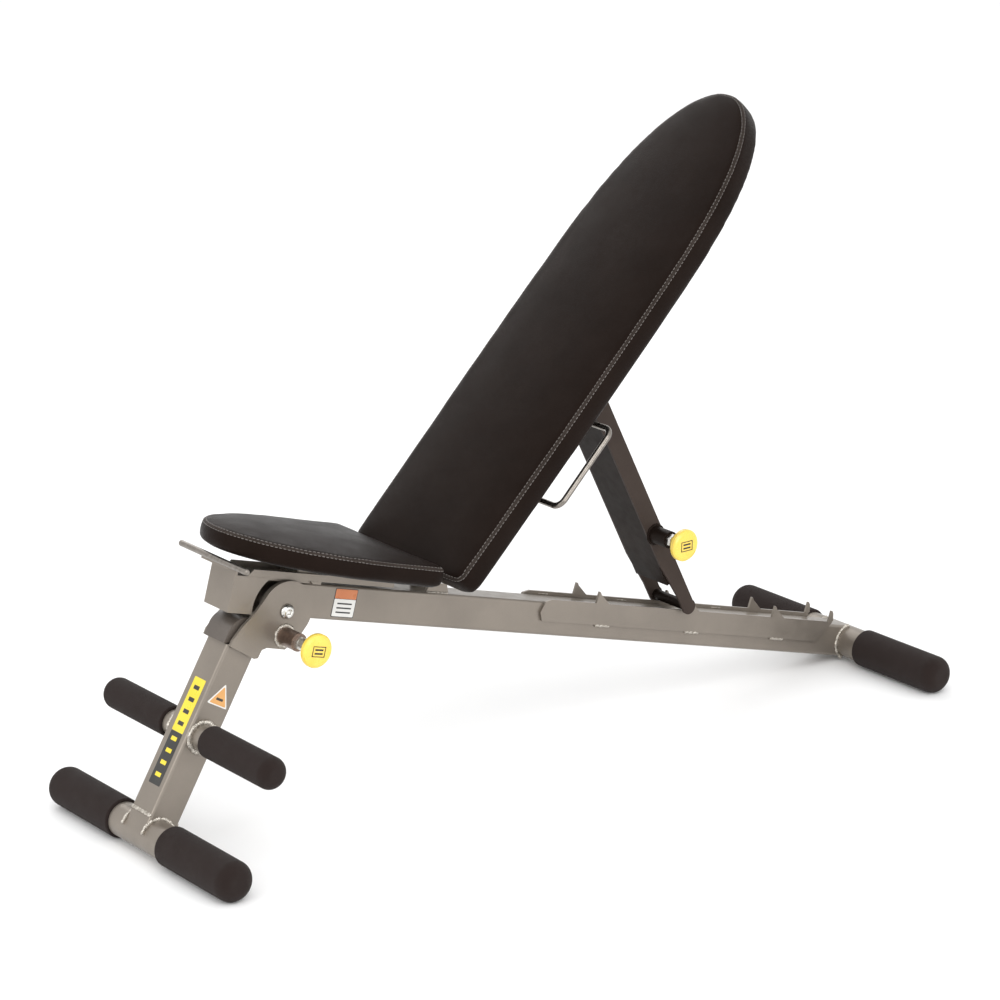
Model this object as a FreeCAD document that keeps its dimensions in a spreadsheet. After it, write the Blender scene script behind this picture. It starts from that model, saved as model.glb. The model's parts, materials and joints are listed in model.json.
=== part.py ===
import FreeCAD, Part
import os
import math
import Sketcher

# Adjustable folding weight bench.
#
# World frame: X runs from the front foot to the rear foot, Y is across the bench and Z is up.
# The origin is on the floor under the middle of the bench. The user's left side is -Y, where
# both pull pins are.
#
# Every piece is drawn in the frame of the member that carries it, and placed from there:
#   rail frame   origin on the centreline of the main rail at its front plate, X to the rear
#   leg frame    origin at the leg's pivot bolt, Z up along the leg
#   back frame   origin at the back rest's hinge bolt, X up along the back, Z out of the cushion
#   arm frame    origin at the support arm's foot rod, Z up along the arm, X to the rear

DIMENSIONS = {
    # Half-length of the tools that cut right across a piece
    "beyond": 60.0,
    # Feet and rollers
    "span": 1310.6,
    "foot_radius": 29.5,
    "foot_tube_radius": 25.4,
    "foot_wall": 2.5,
    "front_foot_length": 461.0,
    "rear_foot_length": 472.0,
    "foot_sleeve_gap": 62.0,
    "roller_up": 152.4,
    "roller_radius": 23.4,
    "roller_tube_radius": 19.0,
    "roller_length": 416.0,
    "roller_sleeve_gap": 47.0,
    "sleeve_cap": 10.0,
    "foot_round": 19.0,
    "roller_round": 15.5,
    "slip": 0.1,
    # Main rail
    "rail_width": 50.8,
    "rail_wall": 2.5,
    "tube_corner": 4.5,
    "rail_angle": 15.54,
    "rail_reach": 1227.0,
    "rail_nose": 41.0,
    # Plates welded on the rail
    "plate": 4.0,
    "ladder_start": 570.0,
    "ladder_end": 1157.0,
    "ladder_top": 30.5,
    "ladder_bottom": -3.0,
    "tooth_height": 17.5,
    "tooth_length": 26.0,
    "tooth_lean": 1.5,
    "tooth_crest": 5.0,
    "hub_radius": 42.0,
    "head_drop": 24.0,
    "head_rise": 41.0,
    "head_gap_radius": 56.0,
    "head_lip": 20.0,
    "head_back": 150.0,
    "handle_radius": 4.6,
    "handle_length": 168.0,
    "handle_ahead": 24.0,
    "handle_up": 45.7,
    # Leg
    "leg_lean": 30.8,
    "leg_fold": 105.0,
    "leg_width": 50.8,
    "leg_wall": 2.5,
    "pivot_up": 359.3,
    "pivot_back": 39.2,
    "leg_top": 75.0,
    "leg_top_rear": 48.0,
    "cap_bulge": 6.9,
    "cap_bend": 30.0,
    "ear": 5.0,
    "ear_gap": 0.3,
    "ear_radius": 43.5,
    "ear_pad": 4.3,
    "ear_pad_x": -58.0,
    "ear_pad_z": -77.5,
    "ear_pad_length": 38.0,
    "ear_pad_height": 19.0,
    "leg_pin_x": 13.5,
    "leg_pin_z": -32.7,
    "bolt_radius": 6.0,
    "bolt_head_radius": 11.0,
    "bolt_head": 6.0,
    "bolt_nut": 5.5,
    "bolt_slip": 0.08,
    "bolt_socket_radius": 3.0,
    "bolt_socket": 3.9,
    "spacer_wall": 3.0,
    "press_slip": 0.02,
    # Pull pins
    "pin_radius": 5.0,
    "pin_slip": 0.08,
    "pin_collar_radius": 8.2,
    "pin_collar": 3.0,
    "pin_collar_gap": 0.5,
    "barrel_end": 4.0,
    "knob_socket": 8.0,
    "pin_bore_radius": 8.4,
    "barrel_radius": 13.2,
    "barrel_length": 36.0,
    "sleeve_radius": 9.0,
    "pin_nut": 8.0,
    "arm_pin_sleeve": 9.0,
    "leg_pin_sleeve": 20.0,
    "knob_radius": 24.5,
    "knob_neck": 9.5,
    "knob_gap": 1.5,
    "knob_length": 27.0,
    "spring_wire": 1.6,
    "spring_turns": 6,
    # Seat
    "seat_tilt": 1.1,
    "seat_front": -32.0,
    "seat_rear": 286.0,
    "seat_width": 271.0,
    "seat_nose": 200.0,
    "seat_under": 58.0,
    "seat_board": 12.0,
    "seat_foam": 27.0,
    "board_inset": 9.0,
    "flange_rise": 10.0,
    "seat_channel_start": 22.0,
    "seat_channel_end": 280.0,
    "riser_width": 44.0,
    "riser_length": 32.0,
    "riser_front": 128.0,
    "riser_rear": 232.0,
    "riser_wing_length": 40.0,
    "riser_wing_width": 140.0,
    "seat_pivot": 110.0,
    "seat_screw_radius": 6.5,
    "seat_screw_head": 3.6,
    "seat_screw_out": 58.0,
    # Back rest
    "back_angle": 45.3,
    "hinge_along": 367.2,
    "hinge_rise": 50.8,
    "hinge_round": 11.0,
    "hinge_half": 20.2,
    "back_bottom": -16.0,
    "back_top": 845.0,
    "back_half": 135.0,
    "back_half_bottom": 132.0,
    "back_taper": 420.0,
    "back_power": 3.2,
    "back_under": 14.0,
    "back_board": 12.0,
    "back_foam": 32.0,
    "back_rail_inner": 43.0,
    "back_rail_width": 20.0,
    "back_rail_depth": 30.0,
    "back_rail_wall": 1.8,
    "back_rail_start": 8.0,
    "back_rail_end": 640.0,
    "lug": 4.5,
    "lug_round": 11.0,
    "cross": 5.0,
    "cross_width": 50.0,
    "back_screw_radius": 6.0,
    "back_screw_head": 3.4,
    "grip_start": 168.0,
    "grip_end": 306.0,
    "grip_out": 129.0,
    "grip_bend": 14.0,
    # Support arm
    "arm_inner": 37.0,
    "arm_plate": 4.0,
    "arm_rear": 10.5,
    "arm_front": 18.5,
    "arm_foot_radius": 12.0,
    "arm_rod_radius": 8.0,
    "arm_channel_top": 404.0,
    "arm_web_start": 56.0,
    "arm_hinge_x": 364.0,
    "arm_hinge_z": -16.0,
    "arm_slide_wall": 3.0,
    "arm_slide_slip": 0.4,
    "arm_slide_start": 98.0,
    "arm_pin_z": 149.0,
    "arm_pin_x": -5.0,
    "arm_travel": 30.0,
}

TEETH = ("tooth_one", "tooth_two", "tooth_three", "tooth_four")
TOOTH_FACES = (670.0, 857.0, 1041.0, 1167.5)
BACK_SCREWS = ("100", "290", "470", "600")

doc = FreeCAD.newDocument("WeightBench")
sheet = doc.addObject("Spreadsheet::Sheet", "Sizes")
nodes = []


def fill_sheet():
    """Write every driving dimension in the sheet, one row each."""
    entries = dict(DIMENSIONS)
    entries.update(zip(TEETH, TOOTH_FACES))
    for row, (alias, value) in enumerate(entries.items(), start=1):
        sheet.set(f"A{row}", alias)
        sheet.set(f"B{row}", str(value))
        sheet.setAlias(f"B{row}", alias)
    doc.recompute()


def formula(text):
    """Turn 'rail_width / 2' into an expression on the sheet's cells."""
    words = str(text).replace("(", " ( ").replace(")", " ) ").split()
    return " ".join(f"Sizes.{word}" if word[0].isalpha() else word for word in words)


def number(text):
    """Value of a formula, in the sheet's plain numbers."""
    return float(sheet.evalExpression(formula(text)))


def bind(feature, **formulas):
    for name, text in formulas.items():
        feature.setExpression(name.replace("_", "."), formula(text))


def locate(feature, x, y, z):
    bind(feature, Placement_Base_x=x, Placement_Base_y=y, Placement_Base_z=z)


# Solids in local coordinates -------------------------------------------------------------------

ALONG = {
    "x": FreeCAD.Rotation(FreeCAD.Vector(0, 1, 0), 90),
    "y": FreeCAD.Rotation(FreeCAD.Vector(1, 0, 0), -90),
    "z": FreeCAD.Rotation(),
}


def block(x, y, z):
    """Box from (start, length) formulas on each axis."""
    box = doc.addObject("Part::Box", "Block")
    bind(box, Length=x[1], Width=y[1], Height=z[1])
    locate(box, x[0], y[0], z[0])
    return box


def round_bar(axis, radius, length, x="0", y="0", z="0"):
    """Cylinder that starts at x, y, z and runs along a positive axis."""
    bar = doc.addObject("Part::Cylinder", "Bar")
    bind(bar, Radius=radius, Height=length)
    bar.Placement = FreeCAD.Placement(FreeCAD.Vector(), ALONG[axis])
    locate(bar, x, y, z)
    return bar


def across(radius, half, x="0", z="0"):
    """Cylinder across the bench, centred on the middle plane."""
    return round_bar("y", radius, f"2 * ( {half} )", x, f"-1 * ( {half} )", z)


def cut(base, *tools):
    tool = tools[0] if len(tools) == 1 else join(*tools)
    result = doc.addObject("Part::Cut", "Cut")
    result.Base = base
    result.Tool = tool
    return result


def join(*shapes):
    result = doc.addObject("Part::MultiFuse", "Join")
    result.Shapes = list(shapes)
    return result


def group(*shapes):
    result = doc.addObject("Part::Compound", "Group")
    result.Links = list(shapes)
    return result


def rounded(base, radius, wanted):
    """Fillet the edges of a solid that the test picks out."""
    doc.recompute()
    fillet = doc.addObject("Part::Fillet", "Rounded")
    fillet.Base = base
    edges = [i for i, edge in enumerate(base.Shape.Edges, start=1) if wanted(edge)]
    fillet.Edges = [(i, number(radius), number(radius)) for i in edges]
    return fillet


def along_axis(axis):
    """Test for straight edges parallel to an axis."""
    def wanted(edge):
        return isinstance(edge.Curve, Part.Line) and abs(edge.tangentAt(edge.FirstParameter).dot(axis)) > 0.99

    return wanted


def square_tube(x, width, height, wall, y_mid="0", z_mid="0", corner=None):
    """Square tube along X: x is (start, length), the rest are formulas."""
    outer = block(x, (f"{y_mid} - ( {width} ) / 2", width), (f"{z_mid} - ( {height} ) / 2", height))
    inner = block(
        (f"{x[0]} - 1", f"{x[1]} + 2"),
        (f"{y_mid} - ( {width} ) / 2 + {wall}", f"{width} - 2 * {wall}"),
        (f"{z_mid} - ( {height} ) / 2 + {wall}", f"{height} - 2 * {wall}"),
    )
    if corner:
        lengthwise = along_axis(FreeCAD.Vector(1, 0, 0))
        outer = rounded(outer, corner, lengthwise)
        inner = rounded(inner, f"( {corner} ) - {wall}", lengthwise)
    return cut(outer, inner)


# Flat plates from sketches ---------------------------------------------------------------------

def new_sketch(body, plane, name):
    sketch = body.newObject("Sketcher::SketchObject", name)
    sketch.AttachmentSupport = next(f for f in body.Origin.OriginFeatures if f.Role == plane)
    sketch.MapMode = "FlatFace"
    return sketch


def pin_point(sketch, geometry, vertex, x, y):
    """Fix a sketch point with two dimensions that read the sheet."""
    for kind, text in (("DistanceX", x), ("DistanceY", y)):
        index = sketch.addConstraint(
            Sketcher.Constraint(kind, -1, 1, geometry, vertex, number(text)))
        sketch.setExpression(f"Constraints[{index}]", formula(text))


def polygon(sketch, corners):
    """Closed outline with straight sides through corners given as formulas."""
    spots = [FreeCAD.Vector(number(x), number(y), 0) for x, y in corners]
    first = sketch.GeometryCount
    for i, spot in enumerate(spots):
        sketch.addGeometry(Part.LineSegment(spot, spots[(i + 1) % len(spots)]), False)
    for i in range(len(spots)):
        following = (i + 1) % len(spots)
        sketch.addConstraint(Sketcher.Constraint("Coincident", first + i, 2, first + following, 1))
    for i, (x, y) in enumerate(corners):
        pin_point(sketch, first + i, 1, x, y)


def ring(sketch, x, y, radius):
    """Circle in a sketch: a hole when it lies inside an outline."""
    centre = FreeCAD.Vector(number(x), number(y), 0)
    axis = FreeCAD.Vector(0, 0, 1)
    index = sketch.addGeometry(Part.Circle(centre, axis, number(radius)), False)
    pin_point(sketch, index, 3, x, y)
    size = sketch.addConstraint(Sketcher.Constraint("Radius", index, number(radius)))
    sketch.setExpression(f"Constraints[{size}]", formula(radius))


def plate(corners, thickness, plane="XZ_Plane", holes=()):
    """Body with one padded outline. On XZ_Plane it grows towards -Y, on XY_Plane towards +Z."""
    body = doc.addObject("PartDesign::Body", "Plate")
    sketch = new_sketch(body, plane, "Outline")
    polygon(sketch, corners)
    for x, y, radius in holes:
        ring(sketch, x, y, radius)
    pad = body.newObject("PartDesign::Pad", "Thickness")
    pad.Profile = sketch
    pad.setExpression("Length", formula(thickness))
    sketch.Visibility = False
    return body


def turned(profile):
    """Body of revolution about Z from (radius, height) corners."""
    body = doc.addObject("PartDesign::Body", "Turned")
    sketch = new_sketch(body, "XZ_Plane", "Profile")
    polygon(sketch, profile)
    spin = body.newObject("PartDesign::Revolution", "Turn")
    spin.Profile = sketch
    spin.ReferenceAxis = (sketch, ["V_Axis"])
    spin.Angle = 360
    sketch.Visibility = False
    return body


def shifted(feature, x="0", y="0", z="0"):
    """Move a finished feature inside its member's frame."""
    feature.Placement = FreeCAD.Placement(
        FreeCAD.Vector(number(x), number(y), number(z)), feature.Placement.Rotation)
    return feature


# Frames ----------------------------------------------------------------------------------------

def tilt(degrees):
    return FreeCAD.Rotation(FreeCAD.Vector(0, 1, 0), degrees)


def member_frames():
    """Placements of the rail, leg, back and arm frames, worked out from the feet upwards."""
    front_foot = FreeCAD.Vector(-number("span") / 2, 0, number("foot_radius"))
    rear_foot = FreeCAD.Vector(number("span") / 2, 0, number("foot_radius"))
    rail_turn = tilt(number("rail_angle"))
    rail = FreeCAD.Placement(
        rear_foot - rail_turn.multVec(FreeCAD.Vector(number("rail_reach"), 0, 0)), rail_turn)
    leg_turn = tilt(number("leg_lean"))
    pivot = front_foot + leg_turn.multVec(
        FreeCAD.Vector(number("pivot_back"), 0, number("pivot_up")))
    back = FreeCAD.Placement(
        rail.multVec(FreeCAD.Vector(number("hinge_along"), 0, number("hinge_rise"))),
        tilt(-number("back_angle")))
    foot_rod = rail.multVec(FreeCAD.Vector(
        number("tooth_two - arm_rod_radius - 0.5"), 0, number("ladder_top + arm_rod_radius + 0.3")))
    arm_hinge = back.multVec(FreeCAD.Vector(number("arm_hinge_x"), 0, number("arm_hinge_z")))
    reach = arm_hinge - foot_rod
    arm = FreeCAD.Placement(foot_rod, tilt(math.degrees(math.atan2(reach.x, reach.z))))
    return {
        "world": FreeCAD.Placement(),
        "rail": rail,
        "leg": FreeCAD.Placement(pivot, leg_turn),
        "back": back,
        "arm": arm,
        "arm_length": reach.Length,
    }


def node(label, frame, feature):
    """Name a finished sub-part and put it in its place."""
    if feature.TypeId in ("Part::Box", "Part::Cylinder"):
        feature = group(feature)
    feature.Label = label
    feature.Placement = frame.multiply(feature.Placement)
    nodes.append(feature)


def offset(frame, x=0.0, y=0.0, z=0.0, turn=None):
    """Frame moved, and if asked turned, inside itself."""
    return frame.multiply(FreeCAD.Placement(FreeCAD.Vector(x, y, z), turn or FreeCAD.Rotation()))


# Shared pieces ---------------------------------------------------------------------------------

def foot_bar(name, frame, length, gap, tube_radius, sleeve_radius, end_round):
    """Steel cross tube with a closed foam sleeve pushed on each end."""
    half = f"{length} / 2 - sleeve_cap - 0.3"
    tube = cut(across(tube_radius, half), across(f"{tube_radius} - foot_wall", f"{half} + 1"))
    node(f"{name}_tube", frame, tube)
    for side, sign in (("left", -1), ("right", 1)):
        start = gap if sign > 0 else f"-1 * {length} / 2"
        bore_start = gap if sign > 0 else f"-1 * {length} / 2 + sleeve_cap"
        outer = round_bar("y", sleeve_radius, f"{length} / 2 - {gap}", y=start)
        outer_end = sign * number(f"{length} / 2")
        soft = rounded(outer, end_round, end_circle(outer_end, sleeve_radius))
        lip = rounded(soft, "sleeve_cap / 3", end_circle(sign * number(gap), sleeve_radius))
        reach = f"{length} / 2 - {gap} - sleeve_cap"
        bore = round_bar("y", f"{tube_radius} + slip", reach, y=bore_start)
        node(f"{name}_sleeve_{side}", frame, cut(lip, bore))


def end_circle(y, radius):
    """Test for the outer circle at one end of a bar across the bench."""
    limit = number(radius)

    def wanted(edge):
        curve = edge.Curve
        if not isinstance(curve, Part.Circle):
            return False
        return abs(curve.Center.y - y) < 0.01 and abs(curve.Radius - limit) < 0.01

    return wanted


def pull_pin(name, frame, wall, sleeve):
    """Spring-loaded pull pin on a plate's outer face, drawn along +Z outwards."""
    knob_start = f"barrel_length + {sleeve} + knob_gap"
    barrel = cut(
        round_bar("z", "barrel_radius", "barrel_length"),
        round_bar("z", "pin_bore_radius", "barrel_length - barrel_end"),
        round_bar("z", "pin_radius + pin_slip", "barrel_length + 2"),
    )
    node(f"{name}_barrel", frame, barrel)
    nut = join(
        plate(hexagon("sleeve_radius + 1.5"), "pin_nut", "XY_Plane"),
        round_bar("z", "sleeve_radius", sleeve),
    )
    bored = cut(nut, round_bar("z", "pin_radius + pin_slip", f"{sleeve} + 2", z="-1"))
    node(f"{name}_nut", offset(frame, z=number("barrel_length")), bored)
    plunger = join(
        round_bar("z", "pin_radius", f"{knob_start} + knob_socket + {wall}", z=f"-1 * {wall}"),
        round_bar("z", "pin_collar_radius", "pin_collar", z="pin_collar_gap"),
    )
    node(f"{name}_plunger", frame, plunger)
    knob = turned([
        ("0", "0"), ("knob_neck", "0"), ("knob_neck + 1.5", "6"), ("knob_radius - 8", "12"),
        ("knob_radius - 1.5", "15.5"), ("knob_radius", "17.5"), ("knob_radius", "knob_length - 4.5"),
        ("knob_radius - 1.5", "knob_length - 2.5"), ("knob_radius - 5", "knob_length - 1"),
        ("knob_radius / 2", "knob_length - 0.3"), ("0", "knob_length"),
    ])
    socket = round_bar("z", "pin_radius + press_slip", "knob_socket + 0.2", z="-0.1")
    node(f"{name}_knob", offset(frame, z=number(knob_start)), cut(knob, socket))
    node(f"{name}_spring", frame, coil_spring())


def hexagon(radius):
    """Corners of a hexagon as formulas, from the radius of its corner circle."""
    return [(f"{math.cos(k * math.pi / 3):.6f} * ( {radius} )",
             f"{math.sin(k * math.pi / 3):.6f} * ( {radius} )") for k in range(6)]


def coil_spring():
    """Compression spring between the plunger's collar and the barrel's end."""
    wire = number("spring_wire") / 2
    mean = number("pin_bore_radius") - 2 * wire
    foot = number("pin_collar_gap + pin_collar") + 0.1 + wire
    height = number("barrel_length - barrel_end") - foot - wire - 0.2
    helix = Part.makeHelix(height / number("spring_turns"), height, mean)
    sides = 14
    section = []
    for k in range(sides + 1):
        angle = 2 * math.pi * k / sides
        section.append(FreeCAD.Vector(mean + wire * math.cos(angle), 0, wire * math.sin(angle)))
    spring = doc.addObject("Part::Feature", "Spring")
    spring.Shape = Part.Wire(helix.Edges).makePipeShell([Part.makePolygon(section)], True, True)
    spring.Placement = FreeCAD.Placement(FreeCAD.Vector(0, 0, foot), FreeCAD.Rotation())
    return spring


def bolt_and_nut(name, frame, half):
    """Button-head bolt across the bench with its lock nut; half is where head and nut seat."""
    shank = across("bolt_radius", f"{half} + bolt_head")
    head = round_bar("y", "bolt_head_radius", "bolt_head", y=f"-1 * ( {half} + bolt_head )")
    socket = round_bar("y", "bolt_socket_radius", "bolt_socket", y=f"-1 * ( {half} + bolt_head )")
    node(f"{name}_bolt", frame, cut(join(shank, head), socket))
    nut = plate(hexagon("bolt_head_radius + 1"), "bolt_nut", "XY_Plane",
                holes=[("0", "0", "bolt_radius + press_slip")])
    node(f"{name}_nut", offset(frame, y=number(half), turn=ALONG["y"]), nut)


# Main frame ------------------------------------------------------------------------------------

def main_rail(rail, pivot):
    """Square rail: its nose is round about the leg pivot and its tail is coped to the foot."""
    nose = f"{pivot.x:.4f}"
    drop = f"{pivot.z:.4f}"
    start = f"{nose} - rail_nose"
    tube = square_tube((start, f"rail_reach - {nose} + rail_nose"), "rail_width", "rail_width",
                       "rail_wall", corner="tube_corner")
    corner = cut(
        block((f"{start} - 1", "rail_nose + 1"), ("-1 * beyond", "2 * beyond"), ("-1 * beyond", "2 * beyond")),
        across("rail_nose", "beyond", nose, drop),
    )
    cope = across("foot_tube_radius + 0.05", "beyond", "rail_reach")
    bore = across("bolt_radius + spacer_wall + 0.05", "beyond", nose, drop)
    node("main_rail", rail, cut(tube, corner, cope, bore))
    spacer = cut(across("bolt_radius + spacer_wall", "rail_width / 2 - 0.05", nose, drop),
                 across("bolt_radius + bolt_slip", "beyond", nose, drop))
    node("pivot_spacer", rail, spacer)


def ladder_plate(rail, side, y):
    """Side plate with four shark-fin teeth: steep in front, sloping behind."""
    corners = [("ladder_start - 6", "10"), ("ladder_start", "ladder_bottom"),
               ("ladder_end - 10", "ladder_bottom"), ("ladder_end + 18", "ladder_top - 2"),
               ("ladder_end + 18", "ladder_top")]
    for face in reversed(TEETH):
        heel = ("ladder_end + 20", "ladder_top + 2") if face == TEETH[-1] \
            else (f"{face} + tooth_length", "ladder_top")
        corners += [
            heel,
            (f"{face} + tooth_lean + tooth_crest", "ladder_top + tooth_height - 4"),
            (f"{face} + tooth_lean + 2", "ladder_top + tooth_height"),
            (f"{face} + tooth_lean", "ladder_top + tooth_height"),
            (face, "ladder_top"),
        ]
    corners += [("ladder_start + 12", "ladder_top"), ("ladder_start", "ladder_top - 4")]
    body = plate(corners, "plate")
    node(f"ladder_plate_{side}", offset(rail, y=y), body)


def hub_plate(rail, side, y, pivot, pin):
    """Index disc on the rail's side, with a hole for the pin open and folded."""
    nose, drop = f"{pivot.x:.4f}", f"{pivot.z:.4f}"
    disc = round_bar("y", "hub_radius", "plate", nose, "0", drop)
    holes = [round_bar("y", "bolt_radius + bolt_slip", "plate + 2", nose, "-1", drop)]
    reach = math.hypot(pin.x - pivot.x, pin.z - pivot.z)
    rest = math.degrees(math.atan2(pin.z - pivot.z, pin.x - pivot.x))
    for turn in (0, number("leg_fold")):
        angle = math.radians(rest + turn)
        x = f"{nose} + {reach * math.cos(angle):.4f}"
        z = f"{drop} + {reach * math.sin(angle):.4f}"
        holes.append(round_bar("y", "pin_radius + 0.5", "plate + 2", x, "-1", z))
    node(f"hub_plate_{side}", offset(rail, y=y), cut(disc, *holes))


def head_bracket(rail, pivot):
    """Bent sheet on the rail's nose: front plate, lip for the handle, top and two sides."""
    nose, drop = f"{pivot.x:.4f}", f"{pivot.z:.4f}"
    width = "rail_width + 2 * plate"
    height = "rail_width / 2 + plate + head_drop"
    shell = cut(
        block(("0", "head_back"), (f"-1 * ( {width} ) / 2", width), ("-1 * head_drop", height)),
        block(("plate", "head_back"), ("-1 * rail_width / 2", "rail_width"),
              ("-1 * head_drop - 1", "head_drop + rail_width / 2 + 1")),
        across("head_gap_radius", "beyond", nose, drop),
        block((nose, "head_back"), ("-1 * beyond", "2 * beyond"),
              ("-1 * head_drop - 1", "head_drop + rail_width / 2 + 1")),
    )
    top = block(("plate", "head_back - plate"), ("-1 * rail_width / 2", "rail_width"),
                ("rail_width / 2", "plate"))
    front = block(("0", "plate"), (f"-1 * ( {width} ) / 2", width),
                  ("rail_width / 2", "head_rise - rail_width / 2"))
    lip = block(("-1 * head_lip", "head_lip + plate"), (f"-1 * ( {width} ) / 2", width),
                ("head_rise - 3", "3"))
    node("head_bracket", rail, join(shell, top, front, lip))


def front_handle(rail):
    bar = across("handle_radius", "handle_length / 2", "-1 * handle_ahead + 4", "handle_up")
    grip = rounded(bar, "handle_radius / 2", lambda edge: isinstance(edge.Curve, Part.Circle))
    node("front_handle", rail, grip)


def seat_channel(rail):
    """Channel on top of the rail that carries the seat; its front corners are bevelled."""
    width = "rail_width + 2 * plate - 1"
    base = "rail_width / 2 + plate"
    rise = "flange_rise"
    length = "seat_channel_end - seat_channel_start"
    tray = cut(
        block(("seat_channel_start", length), (f"-1 * ( {width} ) / 2", width), (base, rise)),
        block(("seat_channel_start - 1", f"{length} + 2"), (f"-1 * ( {width} ) / 2 + 3", f"{width} - 6"),
              (f"{base} + 3", rise)),
    )
    bevel = plate([("seat_channel_start - 1", base), ("seat_channel_start", base),
                   ("seat_channel_start + 9", f"{base} + {rise}"), ("seat_channel_start + 9", "60"),
                   ("seat_channel_start - 1", "60")], "2 * beyond")
    shifted(bevel, y="beyond")
    node("seat_channel", rail, cut(tray, bevel))


def hinge_ears(rail):
    """Pair of ears on top of the rail that hold the back rest's hinge bolt."""
    for side, y in (("left", number("plate - hinge_half")), ("right", number("hinge_half"))):
        corners = [("hinge_along - 19", "rail_width / 2"), ("hinge_along + 22", "rail_width / 2"),
                   ("hinge_along + hinge_round", "hinge_rise"),
                   ("hinge_along - hinge_round", "hinge_rise")]
        base = plate(corners, "plate")
        crown = round_bar("y", "hinge_round", "plate", "hinge_along", "-1 * plate", "hinge_rise")
        bore = round_bar("y", "bolt_radius + bolt_slip", "plate + 2", "hinge_along",
                         "-1 * plate - 1", "hinge_rise")
        node(f"hinge_ear_{side}", offset(rail, y=y), cut(join(base, crown), bore))


# Seat ------------------------------------------------------------------------------------------

def seat_outline(inset):
    """Seat outline as corner formulas: a half-oval nose, straight sides and a square tail."""
    half = f"( seat_width / 2 - {inset} )"
    reach = f"( seat_nose - {inset} )"
    nose = f"( seat_front + {inset} )"
    tail = f"( seat_rear - {inset} )"
    right = []
    steps = 16
    for k in range(1, steps + 1):
        angle = k * math.pi / 2 / steps
        right.append((f"{nose} + {reach} - {reach} * {math.cos(angle):.5f}",
                      f"{half} * {math.sin(angle):.5f}"))
    right += [(f"{tail} - 14", half), (f"{tail} - 4", f"{half} - 4"), (tail, f"{half} - 14")]
    left = [(x, f"-1 * ( {y} )") for x, y in reversed(right)]
    return [(nose, "0")] + right + left


def seat(rail):
    """Plywood board, upholstered pad, two risers and their screws."""
    turn = tilt(number("seat_tilt"))
    pivot = number("seat_pivot")
    frame = offset(offset(rail, pivot, 0, number("seat_under"), turn), -pivot)
    board = plate(seat_outline("board_inset"), "seat_board", "XY_Plane")
    node("seat_board", frame, board)
    pad = plate(seat_outline("0"), "seat_foam", "XY_Plane")
    node("seat_pad", offset(frame, z=number("seat_board + 0.2")), pad)
    base = "rail_width / 2 + plate + 3"
    slope = math.tan(math.radians(number("seat_tilt")))
    screws = []
    for name in ("front", "rear"):
        along = f"riser_{name}"
        under = number("seat_under") - (number(along) - pivot) * slope
        top = f"{under - 0.4:.3f}"
        height = f"{top} - plate - ( {base} )"
        post = square_tube((f"{along} - riser_length / 2", "riser_length"), "riser_width", height,
                           "plate", z_mid=f"{base} + ( {height} ) / 2")
        wing = block((f"{along} - riser_wing_length / 2", "riser_wing_length"),
                     ("-1 * riser_wing_width / 2", "riser_wing_width"), (f"{top} - plate", "plate"))
        node(f"seat_riser_{name}", rail, join(post, wing))
        for y in ("-1 * seat_screw_out", "seat_screw_out"):
            screws.append(round_bar("z", "seat_screw_radius", "seat_screw_head", along, y,
                                    f"{top} - plate - 0.1 - seat_screw_head"))
    node("seat_screws", rail, group(*screws))


# Leg -------------------------------------------------------------------------------------------

def leg_tube(leg):
    """Leg tube, coped to the foot and cut at a slant on top, with a bore for the roller bar."""
    length = "pivot_up - leg_top_rear"
    lengthwise = along_axis(FreeCAD.Vector(0, 0, 1))
    outer = block(("-1 * pivot_back - leg_width / 2", "leg_width"), ("-1 * leg_width / 2", "leg_width"),
                  ("-1 * pivot_up", length))
    inside = "leg_width - 2 * leg_wall"
    inner = block((f"-1 * pivot_back - ( {inside} ) / 2", inside), (f"-1 * ( {inside} ) / 2", inside),
                  ("-1 * pivot_up - 1", f"{length} + 2"))
    soft = rounded(outer, "tube_corner", lengthwise)
    hollow = rounded(inner, "tube_corner - leg_wall", lengthwise)
    front, rear = "-1 * pivot_back - leg_width / 2", "leg_width / 2 - pivot_back"
    slant = plate([(front, "-1 * leg_top"), (rear, "-1 * leg_top_rear"), (rear, "0"), (front, "0")],
                  "2 * beyond")
    shifted(slant, y="beyond")
    cope = across("foot_tube_radius + 0.05", "beyond", "-1 * pivot_back", "-1 * pivot_up")
    bore = across("roller_tube_radius + 0.05", "beyond", "-1 * pivot_back", "roller_up - pivot_up")
    node("leg_tube", leg, cut(soft, hollow, slant, cope, bore))


def leg_cap(leg):
    """Moulded plug on the leg's top, round in front so that it clears the head bracket."""
    front = "-1 * pivot_back - leg_width / 2 - cap_bulge"
    rear = "leg_width / 2 - pivot_back"
    corners = [(front, "-1 * leg_top"), (rear, "-1 * leg_top_rear"), (rear, "-28"), (f"{rear} - 8", "-26")]
    bend = number("cap_bend")
    centre_x, centre_z = number(front) + bend, -28.0 - bend
    start, end, steps = 92.0, 176.0, 12
    for k in range(steps + 1):
        angle = math.radians(start + (end - start) * k / steps)
        corners.append((f"{centre_x + bend * math.cos(angle):.3f}",
                        f"{centre_z + bend * math.sin(angle):.3f}"))
    body = plate(corners, "leg_width - 2 * ear_gap")
    node("leg_cap", offset(leg, y=number("leg_width / 2 - ear_gap")), body)


EAR_OUTLINE = (
    ("-50.6", "-22.7"), ("-59.7", "-43.9"), ("-66.0", "-66.9"), ("-65.5", "-75.5"),
    ("-19", "-79"), ("-13.3", "-76"), ("-12.6", "-63.2"), ("-5.9", "-57.9"), ("24.2", "-50.5"),
    ("38", "-30"), ("43.2", "-5"), ("0", "0"), ("-43.2", "5"),
)


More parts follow.
